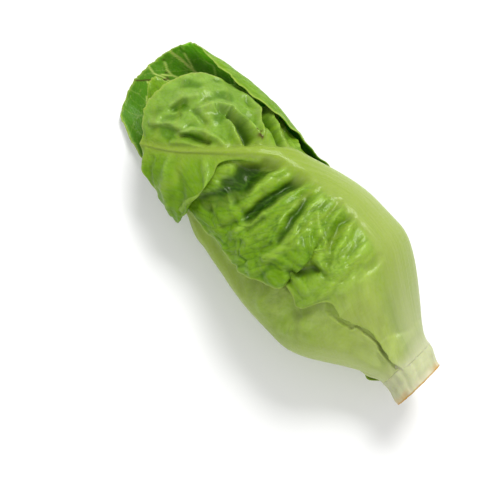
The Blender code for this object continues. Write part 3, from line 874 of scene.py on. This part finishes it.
def inner_tint(leaf, at):
    """The colour of the face that looks in: deeper green, with thin pale veins."""
    t, degrees = at.t, at.degrees
    tint = mix(INNER, INNER_DEEP, 0.5 + 0.6 * noise(t / 20, degrees / 24, leaf.seed + 31))
    tint = mix(BLADE_FOOT, tint, ease(t, leaf.green[0] + 20, leaf.green[1] + 15))
    lines = bell(at.border, 0.05) * 0.75 + 0.22 * bell(at.fine, 0.07)
    tint = mix(tint, INNER_VEIN, 0.35 * lines)
    if leaf.name == "under_leaf":
        # painted light: a patch of the inner face by its +Y side, toward the tip, is painted brighter than
        # the rest
        painted_light_patch = ease(degrees, 318, 350) * ease(t, 90, 120)
        tint = tint * (0.80 + 1.5 * painted_light_patch[..., None])
        veins = [(1.0, 0.42, *path) for path in UNDER_VEINS]
        tint = mix(tint, INNER_VEIN, 0.95 * strokes_at(t, degrees, veins, stray=0.6))
        marks = [(1.0, 0.4, *CRACK)] + [(0.9, 0.6, p) for p in SPECKS]
        tint = mix(tint, CRACK_BROWN, strokes_at(t, degrees, marks, stray=0.6))
    else:
        tint = mix(tint, INNER_VEIN, 0.8 * at.vein ** 2 * ease(at.fade, 0.1, 0.7))
    tint = mix(tint, RIB_MIDDLE, ease(at.rib, 0.15, 0.8))
    tint = mix(tint, MARGIN, 0.9 * bell(at.edge, 0.7))
    return mix(tint, HEART, 0.75 * leaf.heart)


# -------- meshes
def sheet_faces(grid):
    """Quads between neighbours in a grid of point numbers."""
    corners = grid[:-1, :-1], grid[1:, :-1], grid[1:, 1:], grid[:-1, 1:]
    return np.stack([c.ravel() for c in corners], axis=1)


def rim_faces(grid):
    """The faces that join two equal sheets all round. The second one's points follow the first one's."""
    loop = np.concatenate([grid[0], grid[1:, -1], grid[-1, -2::-1], grid[-2:0:-1, 0]])
    after = np.roll(loop, -1)
    return np.stack([loop, after, after + grid.size, loop + grid.size], axis=1)


def mesh_from(name, points, faces, tint, chart, material):
    """An object with these points and faces, and with a tint and a place in the chart at each point."""
    mesh = bpy.data.meshes.new(name)
    mesh.vertices.add(len(points))
    mesh.vertices.foreach_set("co", points.astype(np.float32).ravel())
    mesh.loops.add(faces.size)
    mesh.loops.foreach_set("vertex_index", faces.astype(np.int32).ravel())
    mesh.polygons.add(len(faces))
    starts = np.arange(0, faces.size, faces.shape[1], dtype=np.int32)
    mesh.polygons.foreach_set("loop_start", starts)
    mesh.update(calc_edges=True)
    mesh.shade_smooth()
    colours = mesh.attributes.new("tint", "FLOAT_COLOR", "POINT")
    colours.data.foreach_set("color", tint.astype(np.float32).ravel())
    places = mesh.attributes.new("chart", "FLOAT_VECTOR", "POINT")
    places.data.foreach_set("vector", chart.astype(np.float32).ravel())
    mesh.materials.append(material)
    made = bpy.data.objects.new(name, mesh)
    bpy.context.scene.collection.objects.link(made)
    return made


def with_alpha(rgb):
    rgb = rgb.reshape(-1, 3)
    return np.concatenate([rgb, np.ones((len(rgb), 1))], axis=1)


def face_points(t, degrees, r, least):
    """The points of one face of a leaf, none lower than least."""
    points = place(t, degrees, r).reshape(-1, 3)
    points[:, 2] = np.maximum(points[:, 2], least)
    return points


def make_leaf(order, skin):
    leaf = LEAVES[order]
    t, outer, inner, at = grow(order)
    points = np.concatenate([face_points(t, at.degrees, outer, FLOOR_OUTSIDE),
                             face_points(t, at.degrees, inner, FLOOR_INSIDE)])
    grid = np.arange(t.size).reshape(t.shape)
    outside = sheet_faces(grid)
    faces = np.concatenate([outside, outside[:, ::-1] + grid.size, rim_faces(grid)])
    tint = np.concatenate([with_alpha(outer_tint(leaf, at)), with_alpha(inner_tint(leaf, at))])
    chart = np.stack([at.l * 0.1, at.c * 0.1, at.rib], axis=-1).reshape(-1, 3)
    chart = np.concatenate([chart, chart])
    made = mesh_from("leaf_" + leaf.name, points, faces, tint, chart, skin)
    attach(made, "root")
    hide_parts(leaf.name)


# -------- the stem and its core
AROUND = 128
FACE_RINGS = [0.001, 0.12, 0.25, 0.38, 0.5, 0.6, 0.68, 0.74, 0.79, 0.84, 0.88, 0.92, 0.95, 0.975]
BUNDLES = 30
BUNDLE_RING = 0.845  # where the ring of bundles lies, as a share of the radius
SCAR_AT = 5.6


def stem_rows():
    """Each ring's t, radius and how much it belongs to the cut face."""
    rows = [(0.25 * (1 - f) ** 0.5 + 0.02, f * STEM_RADIUS, 1.0) for f in FACE_RINGS]
    rows += [(0.10, STEM_RADIUS * 0.99, 1.0), (0.35, STEM_RADIUS, 0.6)]
    rows += [(t, float(stem_side(t)), 0.0) for t in np.linspace(0.8, 13.0, 38)]
    for t in np.linspace(14.0, CORE_LENGTH, 20):
        rows.append((t, float(core_radius(t)) + 3.6 * float(fall(t, 13, 22)), 0.0))
    return [np.array(values)[:, None] for values in zip(*rows)]


def stem_shape():
    """The points of the stem's rings, and what its looks need to know at each."""
    turn = np.linspace(0, 2 * math.pi, AROUND, endpoint=False)[None, :]
    t, radius, cut = (values + 0 * turn for values in stem_rows())
    turn = turn + 0 * t
    degrees = np.degrees(turn)
    cx, cy = radius * np.cos(turn), radius * np.sin(turn)
    uneven = (1.0 + 0.035 * noise(3 * np.cos(turn) + 5, 3 * np.sin(turn) + 5, 2)
              + 0.012 * noise(9 * np.cos(turn), 9 * np.sin(turn), 4))
    outside = ease(radius / STEM_RADIUS, 0.6, 0.95)
    r = radius * (1 + (uneven - 1) * outside * fall(t, STEM_BARE, STEM_BARE + 3))
    strand = noise(degrees / 7, t / 26, 6) * 0.16 + noise(degrees / 2.6, t / 18, 7) * 0.07
    r += strand * (1 - cut) * fall(t, 11, 13)
    t = t + cut * (0.16 * noise(cx / 3, cy / 3, 8) + 0.10 * noise(cx / 1.1, cy / 4, 9))
    scar = bell(t - SCAR_AT - 0.9 * noise(degrees / 50, 0, 10), 0.45) * (1 - cut)
    r -= 0.08 * scar
    points = place(np.maximum(t, 0), degrees, r).reshape(-1, 3)
    return points, SimpleNamespace(t=t, turn=turn, degrees=degrees, radius=radius, cut=cut, cx=cx,
                                   cy=cy, strand=strand, scar=scar)


def stem_tint(at):
    """The cut face with its ring of bundles and its darker rim, and the side with its stain and scar."""
    share = at.radius / STEM_RADIUS
    bundle = at.turn / (2 * math.pi) * BUNDLES + 0.3 * noise(at.degrees / 25, 0, 12)
    ring = np.abs(bundle % 1 - 0.5) * 2
    off_ring = share - BUNDLE_RING - 0.012 * noise(at.degrees / 9, 0, 13)
    dots = bell(off_ring, 0.035) * ease(1 - ring, 0.45, 0.85)
    face_tint = layered(CUT_CENTRE, [
        (CUT, ease(share, 0.2, 0.7)),
        (CUT_RIM, 0.45 * np.maximum(noise(at.cx / 2.2, at.cy / 2.2, 14), 0)),
        (BROWN, 0.8 * dots),
        (CUT_RIM, ease(share, 0.93, 1)),
    ])
    stain = np.maximum(noise(at.degrees / 26, at.t / 5, 15) + 0.25, 0) * fall(at.t, 0.5, 4.5)
    side_tint = layered(STEM_EDGE, [
        (STEM_SIDE, ease(at.t, 0.6, 4)),
        (RIB_MIDDLE, 0.08 * ease(at.t, 3, 9) + 0.16 * np.maximum(at.strand * 5, 0)),
        (CUT_RIM, 0.6 * fall(at.t, 0.1, 0.9) + 0.7 * stain + 0.04 * at.scar),
    ])
    return with_alpha(mix(side_tint, face_tint, at.cut))


def stem_faces(count):
    """Triangles between the rings, and a fan at each end round one more point."""
    grid = np.arange(count * AROUND).reshape(count, AROUND)
    closed = np.concatenate([grid, grid[:, :1]], axis=1)
    quads = sheet_faces(closed)
    near = np.stack([np.full(AROUND, grid.size), closed[0, :-1], closed[0, 1:]], axis=1)
    far = np.stack([np.full(AROUND, grid.size + 1), closed[-1, 1:], closed[-1, :-1]], axis=1)
    return np.concatenate([quads[:, [0, 1, 2]], quads[:, [0, 2, 3]], near, far])


def with_ends(values):
    """The values with the first and the last one again, for the two end points."""
    return np.concatenate([values, values[:1], values[-1:]])


def make_stem(skin):
    """The cut butt with its face, and the core inside the head."""
    points, at = stem_shape()
    ends = [points[:AROUND].mean(0), points[-AROUND:].mean(0)]
    chart = np.stack([at.t * 0.1, at.degrees * 0.02, at.cut], axis=-1).reshape(-1, 3)
    points = np.concatenate([points, ends])
    tint = with_ends(stem_tint(at))
    made = mesh_from("stem_cut", points, stem_faces(len(at.t)), tint, with_ends(chart), skin)
    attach(made, "root")
    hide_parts("stem")


# -------- materials
def add_node(tree, kind, inputs):
    """A node with each input set to a value or linked to another node's output."""
    node = tree.nodes.new("ShaderNode" + kind)
    for socket, value in inputs.items():
        if isinstance(value, bpy.types.NodeSocket):
            tree.links.new(value, node.inputs[socket])
        else:
            node.inputs[socket].default_value = value
    return node


def attribute(tree, name):
    node = add_node(tree, "Attribute", {})
    node.attribute_name = name
    return node


def noise_at(tree, chart, scale, detail, stretch):
    spread = add_node(tree, "VectorMath", {0: chart, 1: stretch})
    spread.operation = "MULTIPLY"
    place_at = spread.outputs["Vector"]
    return add_node(tree, "TexNoise", {"Vector": place_at, "Scale": scale, "Detail": detail}).outputs["Fac"]


def ranged(tree, value, low, high):
    """A noise's middle range stretched over low to high."""
    return add_node(tree, "MapRange", {
        "Value": value, "From Min": 0.3, "From Max": 0.7, "To Min": low, "To Max": high}).outputs["Result"]


def blend(tree, factor, a, b):
    return add_node(tree, "Mix", {"Factor": factor, "A": a, "B": b}).outputs["Result"]


def leaf_material(name, roughness, wet, scatter):
    """The mesh's own tint, with mottling and grain, and with fibres along the ribs."""
    made = bpy.data.materials.new(name)
    made.use_nodes = True
    tree = made.node_tree
    shader = tree.nodes["Principled BSDF"]
    shader.inputs["Subsurface Weight"].default_value = scatter
    shader.inputs["Subsurface Radius"].default_value = (0.7, 1.0, 0.25)
    shader.inputs["Subsurface Scale"].default_value = 0.0016
    shader.inputs["Specular IOR Level"].default_value = 0.20
    shader.inputs["Specular Tint"].default_value = (0.85, 1.0, 0.50, 1.0)
    shader.inputs["Coat Weight"].default_value = wet
    shader.inputs["Coat Roughness"].default_value = 0.10
    tint = attribute(tree, "tint").outputs["Color"]
    chart = attribute(tree, "chart").outputs["Vector"]
    mottle = noise_at(tree, chart, 2.2, 4.0, (1.0, 1.0, 0.0))
    grain = noise_at(tree, chart, 9.0, 3.0, (1.0, 1.0, 0.0))
    fibres = noise_at(tree, chart, 5.0, 3.0, (0.16, 3.0, 0.0))
    ribbed = add_node(tree, "SeparateXYZ", {0: chart}).outputs["Z"]
    patches = blend(tree, ribbed, ranged(tree, mottle, 0.88, 1.10), ranged(tree, fibres, 0.95, 1.04))
    shade = add_node(tree, "HueSaturation", {
        "Color": tint, "Value": patches, "Saturation": ranged(tree, grain, 0.94, 1.05)})
    tree.links.new(shade.outputs["Color"], shader.inputs["Base Color"])
    rough = ranged(tree, grain, roughness - 0.07, roughness + 0.10)
    tree.links.new(rough, shader.inputs["Roughness"])
    bump = add_node(tree, "Bump", {
        "Strength": 0.35, "Distance": 0.0005, "Height": blend(tree, ribbed, grain, fibres)})
    tree.links.new(bump.outputs["Normal"], shader.inputs["Normal"])
    return made


def plain_material(name, colour, roughness):
    made = bpy.data.materials.new(name)
    made.use_nodes = True
    shader = made.node_tree.nodes["Principled BSDF"]
    shader.inputs["Base Color"].default_value = (*colour, 1.0)
    shader.inputs["Roughness"].default_value = roughness
    return made


# -------- build
# Each skin's roughness, wetness and scattering
SKINS = {name: leaf_material(name, *surface) for name, surface in {
    "leaf_skin": (0.40, 0.13, 0.25),
    "under_skin": (0.52, 0.03, 0.25),
    "heart_skin": (0.38, 0.12, 0.35),
    "stem_skin": (0.44, 0.03, 0.40),
}.items()}

for order, leaf in enumerate(LEAVES):  # from the outermost in, because each lowers the ceiling
    make_leaf(order, SKINS[leaf.skin])
make_stem(SKINS["stem_skin"])

# -------- floor, light and camera
LIGHT_AIM = (0, 0, 0.02)
AZIMUTH, ELEVATION = math.radians(46.5), math.radians(82.0)
DISTANCE = 0.590
AIM_LEFT, AIM_DOWN = 0.0162, 0.0091  # how far beside the head's middle the camera aims

bpy.ops.mesh.primitive_plane_add(size=6.0, location=(0, 0, 0))
floor = bpy.context.object
floor.name = "floor"
floor.data.materials.append(plain_material("floor_white", FLOOR_WHITE, 0.35))


def area_light(name, place_at, size, power):
    data = bpy.data.lights.new(name, "AREA")
    data.size = size
    data.energy = power
    light = bpy.data.objects.new(name, data)
    light.location = place_at
    light.rotation_euler = (Vector(LIGHT_AIM) - Vector(place_at)).to_track_quat("-Z", "Y").to_euler()
    bpy.context.scene.collection.objects.link(light)


world = bpy.data.worlds.new("studio")
world.use_nodes = True
background = world.node_tree.nodes["Background"]
background.inputs["Color"].default_value = (1, 1, 1, 1)
background.inputs["Strength"].default_value = 0.55
bpy.context.scene.world = world
area_light("key", (-0.35, 0.75, 0.95), 0.55, 16.0)
area_light("fill", (0.5, -0.7, 0.8), 0.9, 5.0)

camera_data = bpy.data.cameras.new("camera")
camera_data.lens = 105.0
camera_data.sensor_width = 36.0
camera = bpy.data.objects.new("camera", camera_data)
bpy.context.scene.collection.objects.link(camera)
bpy.context.scene.camera = camera
level = math.cos(ELEVATION)
back = Vector((math.sin(AZIMUTH) * level, -math.cos(AZIMUTH) * level, math.sin(ELEVATION)))
rotation = (-back).to_track_quat("-Z", "Y")
right, up = rotation @ Vector((1, 0, 0)), rotation @ Vector((0, 1, 0))
middle = (CAD_LOW + CAD_HIGH) / 2
target = middle - right * AIM_LEFT - up * AIM_DOWN
camera.location = target + back * DISTANCE
camera.rotation_mode = "QUATERNION"
camera.rotation_quaternion = rotation
bpy.context.scene.view_settings.view_transform = "Standard"
